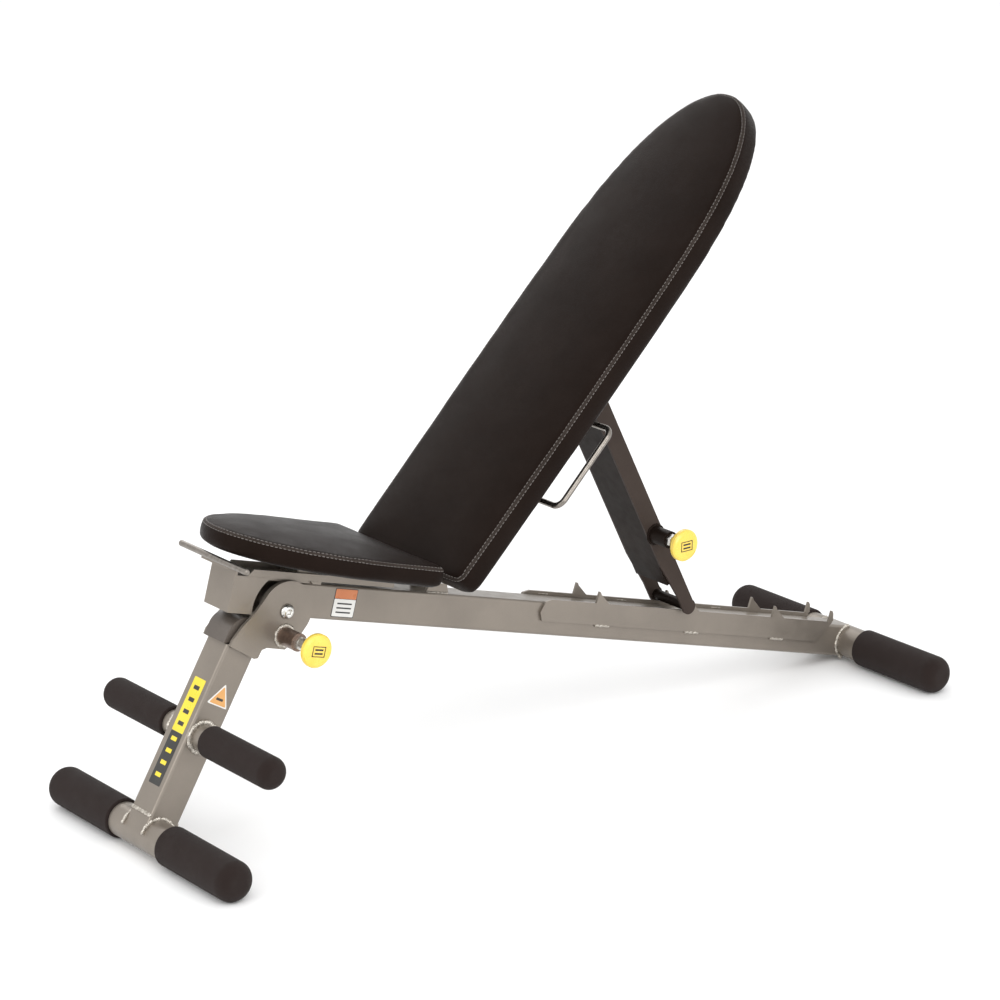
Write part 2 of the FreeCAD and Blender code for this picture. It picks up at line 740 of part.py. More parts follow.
def leg_ears(leg):
    """Ear plates that carry the pivot, each with a welded pad that reaches the leg's side."""
    for side, sign in (("left", -1), ("right", 1)):
        inner = "rail_width / 2 + plate + ear_gap"
        y = number(f"-1 * ( {inner} )") if sign < 0 else number(f"{inner} + ear")
        blade = plate(EAR_OUTLINE[::-1], "ear")
        disc = round_bar("y", "ear_radius", "ear", y="-1 * ear")
        pivot_bore = round_bar("y", "bolt_radius + bolt_slip", "ear + 2", y="-1 * ear - 1")
        pin_bore = round_bar("y", "pin_radius + pin_slip", "ear + 2", "leg_pin_x", "-1 * ear - 1",
                             "leg_pin_z")
        node(f"leg_ear_{side}", offset(leg, y=y), cut(join(blade, disc), pivot_bore, pin_bore))
        pad_y = "-1 * leg_width / 2 - ear_pad + 0.1" if sign < 0 else "leg_width / 2"
        pad = block(("ear_pad_x", "ear_pad_length"), (pad_y, "ear_pad - 0.1"),
                    ("ear_pad_z", "ear_pad_height"))
        node(f"leg_ear_pad_{side}", leg, pad)


# Back rest -------------------------------------------------------------------------------------

def back_outline(inset):
    """Long pad outline: nearly parallel sides, then a blunt oval top."""
    bottom = number(f"back_bottom + {inset}")
    taper = number("back_taper")
    top = number(f"back_top - {inset}")
    half = number(f"back_half - {inset}")
    half_bottom = number(f"back_half_bottom - {inset}")
    right = [(bottom, half_bottom - 16), (bottom + 16, half_bottom), (0.6 * taper, half), (taper, half)]
    steps, power = 18, number("back_power")
    for k in range(1, steps):
        along = math.sin(k * math.pi / 2 / steps)
        right.append((taper + (top - taper) * along, half * math.sqrt(1 - along ** power)))
    right.append((top, 0.0))
    left = [(x, -y) for x, y in reversed(right[:-1])]
    return [(f"{x:.3f}", f"{y:.3f}") for x, y in right + left]


def back_rest(back):
    """Board, upholstered pad, side rails, cross plates with lugs, grip and screws."""
    board = plate(back_outline("board_inset"), "back_board", "XY_Plane")
    node("back_board", offset(back, z=number("back_under")), board)
    pad = plate(back_outline("0"), "back_foam", "XY_Plane")
    node("back_pad", offset(back, z=number("back_under + back_board + 0.2")), pad)
    for side, sign in (("left", "-1"), ("right", "1")):
        tube = square_tube(
            ("back_rail_start", "back_rail_end - back_rail_start"), "back_rail_width",
            "back_rail_depth", "back_rail_wall",
            y_mid=f"{sign} * ( back_rail_inner + back_rail_width / 2 )",
            z_mid="back_under - 0.1 - back_rail_depth / 2", corner="back_rail_wall + 1.5")
        node(f"back_rail_{side}", back, tube)
    crosses = (
        ("lower", "14", "hinge_half + 0.3 + lug", "0", "0", "60"),
        ("upper", "arm_hinge_x - 25", "arm_inner - arm_slide_slip - arm_slide_wall - 0.3",
         "arm_hinge_x", "arm_hinge_z", "arm_hinge_x + 18"),
    )
    for name, start, lug_out, hole_x, hole_z, lug_end in crosses:
        node(f"back_cross_{name}", back, cross_plate(start, lug_out, hole_x, hole_z, lug_end))
    screws = []
    for x in BACK_SCREWS:
        for sign in ("-1", "1"):
            y = f"{sign} * ( back_rail_inner + back_rail_width / 2 )"
            screws.append(round_bar("z", "back_screw_radius", "back_screw_head", x, y,
                                    "back_under - back_rail_depth - 0.2 - back_screw_head"))
    node("back_screws", back, group(*screws))
    node("back_grip", back, grip_rod())


def cross_plate(start, lug_out, hole_x, hole_z, lug_end):
    """Flat bar between the side rails with two hinge lugs hanging from it."""
    base = f"back_under - 0.1 - cross"
    bar = block((start, "cross_width"), ("-1 * back_rail_inner", "2 * back_rail_inner"), (base, "cross"))
    lugs = []
    bores = across("bolt_radius + bolt_slip", "beyond", hole_x, hole_z)
    for y in (f"{lug_out} - lug", f"-1 * ( {lug_out} )"):
        lugs.append(round_bar("y", "lug_round", "lug", hole_x, y, hole_z))
        low = "-1 * lug_round" if hole_z == "0" else f"{hole_z}"
        first = hole_x if hole_z == "0" else f"{hole_x} - lug_round"
        span = f"{lug_end} - ( {first} )" if hole_z == "0" else "2 * lug_round"
        lugs.append(block((first, span), (y, "lug"), (low, f"{base} - ( {low} )")))
    return cut(join(bar, *lugs), bores)


def grip_rod():
    """Bent rod under the left side rail: two legs and a grip that stands out beyond it."""
    out, bend = number("grip_out"), number("grip_bend")
    low, high = number("grip_start"), number("grip_end")
    inner = number("back_rail_inner + 2")
    z = number("back_under - 0.1 - back_rail_depth - handle_radius")
    half_turn = bend * (1 - math.sqrt(0.5))
    points = [
        FreeCAD.Vector(low, -inner, z), FreeCAD.Vector(low, -out + bend, z),
        FreeCAD.Vector(low + half_turn, -out + half_turn, z), FreeCAD.Vector(low + bend, -out, z),
        FreeCAD.Vector(high - bend, -out, z), FreeCAD.Vector(high - half_turn, -out + half_turn, z),
        FreeCAD.Vector(high, -out + bend, z), FreeCAD.Vector(high, -inner, z),
    ]
    path = Part.Wire([
        Part.LineSegment(points[0], points[1]).toShape(),
        Part.Arc(points[1], points[2], points[3]).toShape(),
        Part.LineSegment(points[3], points[4]).toShape(),
        Part.Arc(points[4], points[5], points[6]).toShape(),
        Part.LineSegment(points[6], points[7]).toShape(),
    ])
    ring_wire = Part.Wire(Part.makeCircle(number("handle_radius"), points[0], FreeCAD.Vector(0, 1, 0)))
    rod = doc.addObject("Part::Feature", "GripRod")
    rod.Shape = path.makePipeShell([ring_wire], True, True)
    return rod


# Support arm -----------------------------------------------------------------------------------

def arm_channel(arm):
    """Folded channel: two side plates that straddle the ladder, and a web in front."""
    rear, front = "arm_rear", "-1 * arm_front"
    for side, y in (("left", "-1 * arm_inner"), ("right", "arm_inner + arm_plate")):
        blade = plate([
            (rear, "0"), (rear, "arm_channel_top"), (front, "arm_channel_top"), (front, "95"),
            ("-1 * arm_foot_radius", "30"), ("-1 * arm_foot_radius", "0"),
        ], "arm_plate")
        toe = round_bar("y", "arm_foot_radius", "arm_plate", y="-1 * arm_plate")
        bore = round_bar("y", "pin_radius + pin_slip", "arm_plate + 2", "arm_pin_x", "-1 * arm_plate - 1",
                         "arm_pin_z")
        side_plate = cut(join(blade, toe), bore) if side == "left" else join(blade, toe)
        node(f"arm_side_{side}", offset(arm, y=number(y)), side_plate)
    web = block((front, "arm_plate"), ("-1 * arm_inner", "2 * arm_inner"),
                ("arm_web_start", "arm_channel_top - arm_web_start"))
    node("arm_web", arm, web)
    node("arm_rod", arm, across("arm_rod_radius", "arm_inner"))


def arm_slide(arm, length):
    """Inner channel hinged to the back rest; the pin finds one of its two holes."""
    outer = "arm_inner - arm_slide_slip"
    front = "-1 * arm_front + arm_plate + arm_slide_slip"
    depth = f"arm_rear - 1 - ( {front} )"
    tall = f"{length:.3f} - arm_slide_start + 10"
    body = block((front, depth), (f"-1 * ( {outer} )", f"2 * ( {outer} )"), ("arm_slide_start", tall))
    inside = block((f"{front} + arm_slide_wall", depth),
                   (f"-1 * ( {outer} ) + arm_slide_wall", f"2 * ( {outer} - arm_slide_wall )"),
                   ("arm_slide_start - 1", f"{tall} + 2"))
    window = block((f"{front} - 1", "arm_slide_wall + 2"), (f"-1 * ( {outer} ) + arm_slide_wall",
                   f"2 * ( {outer} - arm_slide_wall )"), (f"{length:.3f} - 34", "60"))
    holes = [across("bolt_radius + bolt_slip", "beyond", "0", f"{length:.3f}")]
    for step in ("0", "arm_travel"):
        holes.append(round_bar("y", "pin_radius + 0.5", "12", "arm_pin_x", f"-1 * ( {outer} ) - 1",
                               f"arm_pin_z - {step}"))
    node("arm_slide", arm, cut(body, inside, window, *holes))


# Assembly --------------------------------------------------------------------------------------

def build():
    fill_sheet()
    frames = member_frames()
    rail, leg, back, arm = frames["rail"], frames["leg"], frames["back"], frames["arm"]
    outward = FreeCAD.Rotation(FreeCAD.Vector(1, 0, 0), 90)
    pivot = rail.inverse().multVec(leg.Base)
    leg_pin = FreeCAD.Vector(number("leg_pin_x"), 0, number("leg_pin_z"))
    pin_on_rail = rail.inverse().multVec(leg.multVec(leg_pin))

    main_rail(rail, pivot)
    for side, y in (("left", number("-1 * rail_width / 2")), ("right", number("rail_width / 2 + plate"))):
        ladder_plate(rail, side, y)
    hub_plate(rail, "left", number("-1 * rail_width / 2 - plate"), pivot, pin_on_rail)
    hub_plate(rail, "right", number("rail_width / 2"), pivot, pin_on_rail)
    head_bracket(rail, pivot)
    front_handle(rail)
    seat_channel(rail)
    hinge_ears(rail)
    seat(rail)
    foot_bar("rear_foot", offset(frames["world"], number("span") / 2, 0, number("foot_radius")),
             "rear_foot_length", "foot_sleeve_gap", "foot_tube_radius", "foot_radius", "foot_round")

    leg_tube(leg)
    leg_cap(leg)
    leg_ears(leg)
    bolt_and_nut("pivot", leg, "rail_width / 2 + plate + ear_gap + ear + 0.25")
    foot_bar("front_foot", offset(leg, -number("pivot_back"), 0, -number("pivot_up")),
             "front_foot_length", "foot_sleeve_gap", "foot_tube_radius", "foot_radius", "foot_round")
    foot_bar("roller", offset(leg, -number("pivot_back"), 0, number("roller_up - pivot_up")),
             "roller_length", "roller_sleeve_gap", "roller_tube_radius", "roller_radius", "roller_round")
    ear_face = number("-1 * ( rail_width / 2 + plate + ear_gap + ear )")
    pull_pin("leg_pin", offset(leg, leg_pin.x, ear_face, leg_pin.z, outward), "ear", "leg_pin_sleeve")

    back_rest(back)
    arm_channel(arm)
    arm_slide(arm, frames["arm_length"])
    bolt_and_nut("back_hinge", back, "hinge_half + 0.3 + lug + 0.1")
    arm_hinge = offset(back, number("arm_hinge_x"), 0, number("arm_hinge_z"))
    bolt_and_nut("arm_hinge", arm_hinge, "arm_inner - arm_slide_slip + 0.1")
    arm_face = number("-1 * ( arm_inner + arm_plate )")
    pull_pin("arm_pin", offset(arm, number("arm_pin_x"), arm_face, number("arm_pin_z"), outward),
             "arm_plate", "arm_pin_sleeve")

    doc.recompute()
    check_and_write()


def check_and_write():
    """Stop on any failed object or bad shape, then write one STEP file for each node."""
    for item in doc.Objects:
        if "Invalid" in item.State or "Error" in item.State:
            raise RuntimeError(f"{item.Name} ({item.Label}) failed: {item.State}")
    for item in nodes:
        if item.Shape.isNull() or not item.Shape.isValid():
            raise RuntimeError(f"{item.Label} has no valid shape")
    os.makedirs("parts", exist_ok=True)
    for item in nodes:
        item.Shape.exportStep(os.path.join("parts", f"{item.Label}.step"))
    print(len(nodes), "nodes written")


build()
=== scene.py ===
import json
import math
import random

import bmesh
import bpy
from mathutils import Matrix, Vector
from mathutils.bvhtree import BVHTree
from mathutils.kdtree import KDTree


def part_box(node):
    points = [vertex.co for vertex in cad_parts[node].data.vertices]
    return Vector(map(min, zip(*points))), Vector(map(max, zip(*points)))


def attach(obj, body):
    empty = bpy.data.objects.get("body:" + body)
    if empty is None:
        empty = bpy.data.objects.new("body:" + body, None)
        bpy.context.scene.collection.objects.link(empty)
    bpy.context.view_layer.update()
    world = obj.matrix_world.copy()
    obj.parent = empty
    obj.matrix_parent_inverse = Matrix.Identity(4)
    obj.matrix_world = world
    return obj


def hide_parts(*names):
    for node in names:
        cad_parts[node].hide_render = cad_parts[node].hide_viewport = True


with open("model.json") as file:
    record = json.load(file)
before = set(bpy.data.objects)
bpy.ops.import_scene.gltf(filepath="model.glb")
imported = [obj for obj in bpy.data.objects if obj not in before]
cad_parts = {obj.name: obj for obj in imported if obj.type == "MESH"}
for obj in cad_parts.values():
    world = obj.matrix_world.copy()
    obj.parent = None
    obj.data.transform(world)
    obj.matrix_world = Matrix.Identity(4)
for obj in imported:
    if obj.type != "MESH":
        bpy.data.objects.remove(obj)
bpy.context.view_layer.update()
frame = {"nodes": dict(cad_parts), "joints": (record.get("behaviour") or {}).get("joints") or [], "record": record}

MM = 0.001
NODES = frame["nodes"]
random.seed(7)

# Sizes that the CAD model has, in millimetres and degrees, in each member's own frame.
TUBE_HALF = 25.4
RAIL_LENGTH = 1227.0
RAIL_LEAN, LEG_LEAN, BACK_LEAN = 15.54, 30.8, -45.3
LEG_AXIS, LEG_FOOT, ROLLER_RISE = -39.2, -359.3, 152.4
SEAT_MIDDLE, SEAT_RISE, SEAT_TILT = 110, 58, 1.1
BACK_PAD_RISE = 14


# Members: local millimetres to the model's frame -----------------------------------------------

def member(origin, lean):
    """Frame of a member turned about the Y axis, from local millimetres to metres."""
    return Matrix.Translation(origin) @ Matrix.Rotation(math.radians(lean), 4, "Y") @ Matrix.Scale(MM, 4)


def middle(node):
    low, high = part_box(node)
    return (low + high) / 2


def joint_spot(name):
    joint = next(j for j in frame["joints"] if j["name"] == name)
    return Vector(joint["pos_m"])


REAR_FOOT = middle("rear_foot_tube")
RAIL_TURN = Matrix.Rotation(math.radians(RAIL_LEAN), 3, "Y")
RAIL = member(REAR_FOOT - RAIL_TURN @ Vector((RAIL_LENGTH * MM, 0, 0)), RAIL_LEAN)
LEG = member(joint_spot("leg_fold"), LEG_LEAN)
BACK = member(joint_spot("back_recline"), BACK_LEAN)
ARM_FOOT = middle("arm_rod")
ARM_REACH = joint_spot("arm_swing") - ARM_FOOT
ARM = member(ARM_FOOT, math.degrees(math.atan2(ARM_REACH.x, ARM_REACH.z)))
SEAT = RAIL @ Matrix.Translation((SEAT_MIDDLE, 0, SEAT_RISE)) \
    @ Matrix.Rotation(math.radians(SEAT_TILT), 4, "Y") @ Matrix.Translation((-SEAT_MIDDLE, 0, 0))
BACK_PAD = BACK @ Matrix.Translation((0, 0, BACK_PAD_RISE))


# Materials -------------------------------------------------------------------------------------

class Nodes:
    """Short way to write a material's node tree."""

    def __init__(self, name):
        self.mat = bpy.data.materials.new(name)
        self.mat.use_nodes = True
        self.tree = self.mat.node_tree
        self.shader = self.tree.nodes["Principled BSDF"]
        self.place = self.new("ShaderNodeTexCoord").outputs["Object"]

    def new(self, kind, **inputs):
        node = self.tree.nodes.new(kind)
        for key, value in inputs.items():
            self.set(node, key.replace("_", " "), value)
        return node

    def set(self, node, key, value):
        socket = node.inputs[key]
        if isinstance(value, bpy.types.NodeSocket):
            self.tree.links.new(value, socket)
        else:
            socket.default_value = value

    def noise(self, scale, detail=3.0, rough=0.55, place=None):
        return self.new("ShaderNodeTexNoise", Vector=place or self.place, Scale=scale, Detail=detail,
                        Roughness=rough).outputs["Fac"]

    def cells(self, scale, place=None):
        node = self.new("ShaderNodeTexVoronoi", Vector=place or self.place, Scale=scale)
        node.feature = "DISTANCE_TO_EDGE"
        return node.outputs["Distance"]

    def fit(self, value, low, high, to_low, to_high):
        node = self.new("ShaderNodeMapRange", Value=value)
        for key, number in (("From Min", low), ("From Max", high), ("To Min", to_low), ("To Max", to_high)):
            node.inputs[key].default_value = number
        return node.outputs["Result"]

    def mix(self, factor, a, b):
        node = self.tree.nodes.new("ShaderNodeMix")
        node.data_type = "RGBA"
        self.tree.links.new(factor, node.inputs[0])
        for socket, value in ((node.inputs[6], a), (node.inputs[7], b)):
            if isinstance(value, bpy.types.NodeSocket):
                self.tree.links.new(value, socket)
            else:
                socket.default_value = (*value, 1)
        return node.outputs[2]

    def sum(self, a, b, weight=1.0):
        node = self.tree.nodes.new("ShaderNodeMath")
        node.operation = "MULTIPLY_ADD"
        self.tree.links.new(b, node.inputs[0])
        node.inputs[1].default_value = weight
        self.tree.links.new(a, node.inputs[2])
        return node.outputs[0]

    def bump(self, height, distance, strength=1.0):
        node = self.new("ShaderNodeBump", Height=height, Distance=distance, Strength=strength)
        self.set(self.shader, "Normal", node.outputs["Normal"])

    def finish(self, colour, rough, **sockets):
        self.set(self.shader, "Base Color", colour)
        self.set(self.shader, "Roughness", rough)
        for key, value in sockets.items():
            self.set(self.shader, key.replace("_", " "), value)
        return self.mat


def powder_coat(name, light, dark, metallic, rough, flake=0.25):
    """Sprayed metallic paint: fine flakes, faint orange peel and slight cloudiness."""
    n = Nodes(name)
    cloud = n.noise(9, 4)
    fleck = n.noise(1500, 2)
    tone = n.mix(n.fit(cloud, 0.35, 0.65, 0, 1), dark, light)
    bright = n.mix(n.fit(fleck, 0.56, 0.75, 0, flake), tone, tuple(min(1, c * 1.8 + 0.05) for c in light))
    peel = n.noise(330, 2)
    n.bump(n.sum(peel, fleck, 0.4), 0.00009, 0.6)
    return n.finish(bright, n.fit(n.noise(60, 3), 0.3, 0.7, rough - 0.05, rough + 0.07), Metallic=metallic,
                    Specular_IOR_Level=0.5 if metallic else 0.06,
                    Specular_Tint=(1.0, 1.0, 1.0, 1.0) if metallic else (1.0, 0.86, 0.74, 1.0))


def vinyl(name, base, light):
    """Upholstery vinyl: small leather cells with painted shade in the creases between them, fine pores and
    slightly uneven gloss.
    """
    n = Nodes(name)
    warp = n.new("ShaderNodeVectorMath")
    warp.operation = "MULTIPLY_ADD"
    wander = n.new("ShaderNodeTexNoise", Vector=n.place, Scale=420.0)
    n.tree.links.new(wander.outputs["Color"], warp.inputs[0])
    warp.inputs[1].default_value = (0.0007,) * 3
    n.tree.links.new(n.place, warp.inputs[2])
    grain = n.fit(n.cells(760, warp.outputs[0]), 0, 0.16, 0, 1)
    pores = n.noise(2100, 2)
    tone = n.mix(n.fit(n.noise(14, 5), 0.35, 0.7, 0, 1), base, light)
    # The creases at the cells' edges are mixed towards a darker tone: painted shade in the creases.
    tone = n.mix(n.fit(grain, 0, 1, 0.45, 0), tone, tuple(c * 0.45 for c in base))
    n.bump(n.sum(grain, pores, 0.3), 0.00016, 0.55)
    rough = n.sum(n.fit(n.noise(23, 4), 0.3, 0.7, 0.33, 0.42), n.fit(grain, 0, 1, 0.06, 0))
    return n.finish(tone, rough, Specular_IOR_Level=0.05, Specular_Tint=(1.0, 0.88, 0.78, 1.0))


def foam(name, base, light):
    """Closed-cell foam sleeve: matte, finely pitted with painted shade in the pits, with a skin that is a little
    uneven.
    """
    n = Nodes(name)
    pits = n.fit(n.cells(1050), 0, 0.12, 0, 1)
    fuzz = n.noise(1700, 3, 0.7)
    tone = n.mix(n.fit(fuzz, 0.35, 0.7, 0, 1), base, light)
    # The pits are mixed towards a darker tone: painted shade in the pits.
    tone = n.mix(n.fit(pits, 0, 1, 0.5, 0), tone, tuple(c * 0.4 for c in base))
    n.bump(n.sum(n.sum(pits, fuzz, 0.8), n.noise(120, 3), 1.2), 0.00028, 0.8)
    return n.finish(tone, n.fit(n.noise(40, 3), 0.3, 0.7, 0.82, 0.95), Specular_IOR_Level=0.15,
                    Sheen_Weight=0.05, Sheen_Roughness=0.5)


def plated(name, light, dark, rough):
    """Zinc plate: bright metal with fine turning marks and dull patches."""
    n = Nodes(name)
    stretch = n.new("ShaderNodeMapping", Vector=n.place)
    stretch.inputs["Scale"].default_value = (1, 9, 1)
    lines = n.noise(700, 3, 0.6, stretch.outputs[0])
    tone = n.mix(n.fit(n.noise(160, 4), 0.3, 0.7, 0, 1), dark, light)
    n.bump(lines, 0.00005, 0.5)
    return n.finish(tone, n.fit(lines, 0.3, 0.7, rough - 0.07, rough + 0.1), Metallic=1.0)


def moulded(name, base, light, rough, **sockets):
    """Moulded plastic: faint flow marks and a fine texture."""
    n = Nodes(name)
    tone = n.mix(n.fit(n.noise(35, 4), 0.3, 0.7, 0, 1), base, light)
    n.bump(n.noise(900, 3), 0.00005, 0.5)
    return n.finish(tone, n.fit(n.noise(90, 3), 0.3, 0.7, rough - 0.04, rough + 0.06), **sockets)


def weld_metal(name):
    """Weld bead under paint or bare: rippled, with heat tint in places."""
    n = Nodes(name)
    tone = n.mix(n.fit(n.noise(240, 4), 0.35, 0.65, 0, 1), (0.30, 0.27, 0.23), (0.62, 0.58, 0.52))
    n.bump(n.noise(850, 3), 0.0002, 0.7)
    return n.finish(tone, n.fit(n.noise(300, 3), 0.3, 0.7, 0.25, 0.42), Metallic=0.9)


def thread(name, base, light):
    """Bonded sewing thread with a tight twist."""
    n = Nodes(name)
    tone = n.mix(n.fit(n.noise(2600, 2), 0.35, 0.65, 0, 1), base, light)
    n.bump(n.noise(3800, 2), 0.0001, 0.7)
    return n.finish(tone, n.fit(n.noise(800, 2), 0.3, 0.7, 0.5, 0.65), Sheen_Weight=0.2)


def lining_cloth(name):
    """Black spun lining under the pads."""
    n = Nodes(name)
    weave = n.noise(1300, 4, 0.75)
    tone = n.mix(n.fit(weave, 0.35, 0.7, 0, 1), (0.008, 0.008, 0.009), (0.035, 0.035, 0.037))
    n.bump(n.sum(weave, n.cells(420), 0.5), 0.0003, 0.8)
    return n.finish(tone, n.fit(n.noise(50, 3), 0.3, 0.7, 0.85, 0.97), Sheen_Weight=0.25)


FRAME_PAINT = powder_coat("frame_paint", (0.232, 0.202, 0.170), (0.200, 0.174, 0.147), 0.55, 0.34)
BLACK_PAINT = powder_coat("black_paint", (0.0150, 0.0098, 0.0078), (0.0100, 0.0066, 0.0053), 0.0, 0.40, 0.02)
VINYL = vinyl("vinyl", (0.0085, 0.0048, 0.0036), (0.0120, 0.0072, 0.0056))
# Lighter copy of the vinyl for the seam's folded edges: painted highlight where the folds catch the light.
VINYL_SEAM_PAINTED_HIGHLIGHT = vinyl("vinyl_seam_painted_highlight", (0.036, 0.028, 0.024), (0.052, 0.042, 0.037))
FOAM = foam("foam", (0.0150, 0.0090, 0.0078), (0.0290, 0.0190, 0.0165))
ZINC = plated("zinc", (0.78, 0.77, 0.74), (0.5, 0.49, 0.46), 0.26)
DARK_STEEL = plated("dark_steel", (0.25, 0.185, 0.152), (0.17, 0.122, 0.10), 0.34)
NICKEL = plated("nickel", (0.27, 0.245, 0.22), (0.18, 0.162, 0.144), 0.26)
# Lighter copy of the black arm paint, used on the arm's sides only: painted light on the lit sides of the channel.
ARM_SIDE_PAINTED_LIGHT = powder_coat("arm_side_painted_light", (0.052, 0.040, 0.034), (0.040, 0.030, 0.026), 0.0, 0.40, 0.03)
KNOB = moulded("knob_yellow", (0.74, 0.52, 0.055), (0.80, 0.58, 0.085), 0.27, Coat_Weight=0.4,
               Coat_Roughness=0.12)
CAP = moulded("cap_plastic", (0.070, 0.057, 0.047), (0.098, 0.081, 0.068), 0.36)
BLACK_PLASTIC = moulded("black_plastic", (0.012, 0.012, 0.012), (0.02, 0.02, 0.02), 0.45)
LABEL_YELLOW = moulded("label_yellow", (0.70, 0.55, 0.025), (0.76, 0.60, 0.04), 0.3)
LABEL_ORANGE = moulded("label_orange", (0.50, 0.15, 0.05), (0.56, 0.19, 0.07), 0.3)
LABEL_AMBER = moulded("label_amber", (0.60, 0.30, 0.09), (0.66, 0.34, 0.11), 0.3)
LABEL_WHITE = moulded("label_white", (0.66, 0.65, 0.62), (0.74, 0.73, 0.7), 0.35)
LABEL_BLACK = moulded("label_black", (0.015, 0.015, 0.014), (0.028, 0.027, 0.025), 0.35)
WELD = weld_metal("weld_bead")
THREAD = thread("seam_thread", (0.09, 0.078, 0.07), (0.20, 0.18, 0.165))
LINING = lining_cloth("lining")
SLOT_MATERIALS = {
    "frame_paint": FRAME_PAINT, "black_paint": BLACK_PAINT, "upholstery": VINYL, "plywood": LINING,
    "foam_sleeve": FOAM, "zinc": ZINC, "knob": KNOB, "cap": CAP,
}
NODE_MATERIALS = {"leg_pin_barrel": DARK_STEEL, "arm_pin_barrel": BLACK_PAINT, "leg_cap": CAP,
                  "back_grip": NICKEL, "front_handle": NICKEL,
                  # The arm's sides take the lighter copy of the black paint: painted light.
                  "arm_side_left": ARM_SIDE_PAINTED_LIGHT, "arm_side_right": ARM_SIDE_PAINTED_LIGHT}


def paint_nodes():
    """Give every CAD node its own procedural material, or the one of its slot."""
    slots = {part["node"]: part["material_slot"] for part in frame["record"]["subparts"]}
    for name, obj in NODES.items():
        obj.data.materials.clear()
        obj.data.materials.append(NODE_MATERIALS.get(name, SLOT_MATERIALS[slots[name]]))


EDGES = {
    "head_bracket": 1.6, "seat_channel": 0.9, "leg_cap": 2.2,
    "ladder_plate_left": 0.8, "ladder_plate_right": 0.8, "leg_ear_left": 1.0, "leg_ear_right": 1.0,
    "hub_plate_left": 0.7, "hub_plate_right": 0.7, "hinge_ear_left": 0.7, "hinge_ear_right": 0.7,
    "arm_side_left": 0.9, "arm_side_right": 0.9, "arm_web": 0.9, "arm_slide": 0.7,
    "back_cross_lower": 0.8, "back_cross_upper": 0.8,
    "seat_riser_front": 0.9, "seat_riser_rear": 0.9, "leg_ear_pad_left": 0.8, "leg_ear_pad_right": 0.8,
    "pivot_nut": 0.6,
    "back_hinge_nut": 0.6, "arm_hinge_nut": 0.6, "leg_pin_nut": 0.7, "arm_pin_nut": 0.7,
}


def round_edges():
    """Soften the sharp edges of cut, pressed and moulded pieces."""
    for name, width in EDGES.items():
        bevel = NODES[name].modifiers.new("edge", "BEVEL")
        bevel.width = width * MM
        bevel.segments = 3
        bevel.limit_method = "ANGLE"
        bevel.angle_limit = math.radians(40)
        bevel.harden_normals = False
        bevel.use_clamp_overlap = True


# Mesh building ---------------------------------------------------------------------------------

def piece(name, verts, faces, material, body, smooth=True):
    """Object in the model's frame that rides on a body."""
    mesh = bpy.data.meshes.new(name)
    mesh.from_pydata([tuple(v) for v in verts], [], faces)
    mesh.validate()
    mesh.update()
    return adopt(name, mesh, material, body, smooth)


def adopt(name, mesh, material, body, smooth=True):
    mesh.materials.clear()
    mesh.materials.append(material)
    mesh.polygons.foreach_set("use_smooth", [smooth] * len(mesh.polygons))
    obj = bpy.data.objects.new(name, mesh)
    bpy.context.scene.collection.objects.link(obj)
    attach(obj, body)
    return obj


class Heap:
    """Collects many small solids in one mesh."""

    def __init__(self):
        self.verts, self.faces = [], []

    def add(self, verts, faces):
        start = len(self.verts)
        self.verts += list(verts)
        self.faces += [tuple(i + start for i in face) for face in faces]

    def rings(self, loops, caps=True):
        """Skin of equal-sized loops, closed at both ends."""
        size = len(loops[0])
        verts = [p for loop in loops for p in loop]
        faces = []
        for k in range(len(loops) - 1):
            for i in range(size):
                j = (i + 1) % size
                faces.append((k * size + i, k * size + j, (k + 1) * size + j, (k + 1) * size + i))
        if caps:
            faces.append(tuple(reversed(range(size))))
            faces.append(tuple((len(loops) - 1) * size + i for i in range(size)))
        self.add(verts, faces)

    def lump(self, centre, along, out, length, width, height, sides=8):
        """Long rounded bead: a stitch, a weld ripple or a staple."""
        along = along.normalized()
        side = along.cross(out).normalized()
        out = side.cross(along).normalized()
        loops = []
        for t in (-0.98, -0.8, -0.35, 0.35, 0.8, 0.98):
            scale = math.sqrt(max(0.04, 1 - t ** 4))
            middle_point = centre + along * (t * length / 2)
            loops.append([middle_point + side * (math.cos(a) * width / 2 * scale)
                          + out * (math.sin(a) * height / 2 * scale)
                          for a in (k * 2 * math.pi / sides for k in range(sides))])
        self.rings(loops)

    def make(self, name, frame_matrix, material, body, slot):
        verts = [frame_matrix @ v for v in self.verts]
        obj = piece(name, verts, self.faces, material, body)
        clean(obj)
        return obj


def clean(obj):
    mesh = bmesh.new()
    mesh.from_mesh(obj.data)
    bmesh.ops.recalc_face_normals(mesh, faces=mesh.faces)
    mesh.to_mesh(obj.data)
    mesh.free()


def resample(points, step, closed=True):
    """Evenly spaced points along a line, with their directions."""
    loop = list(points) + ([points[0]] if closed else [])
    lengths = [(b - a).length for a, b in zip(loop, loop[1:])]
    total = sum(lengths)
    count = max(3, round(total / step))
    out, k, done = [], 0, 0.0
    for i in range(count if closed else count + 1):
        goal = min(total * i / count, total - 1e-6)
        while done + lengths[k] < goal:
            done += lengths[k]
            k += 1
        out.append(loop[k].lerp(loop[k + 1], (goal - done) / lengths[k]))
    return out


def tangents(points, closed=True):
    n = len(points)
    if closed:
        return [(points[(i + 1) % n] - points[i - 1]).normalized() for i in range(n)]
    return [(points[min(i + 1, n - 1)] - points[max(i - 1, 0)]).normalized() for i in range(n)]


# Upholstered pads ------------------------------------------------------------------------------

def mirror_outline(right):
    return [Vector((x, y, 0)) for x, y in right + [(x, -y) for x, y in reversed(right)]]


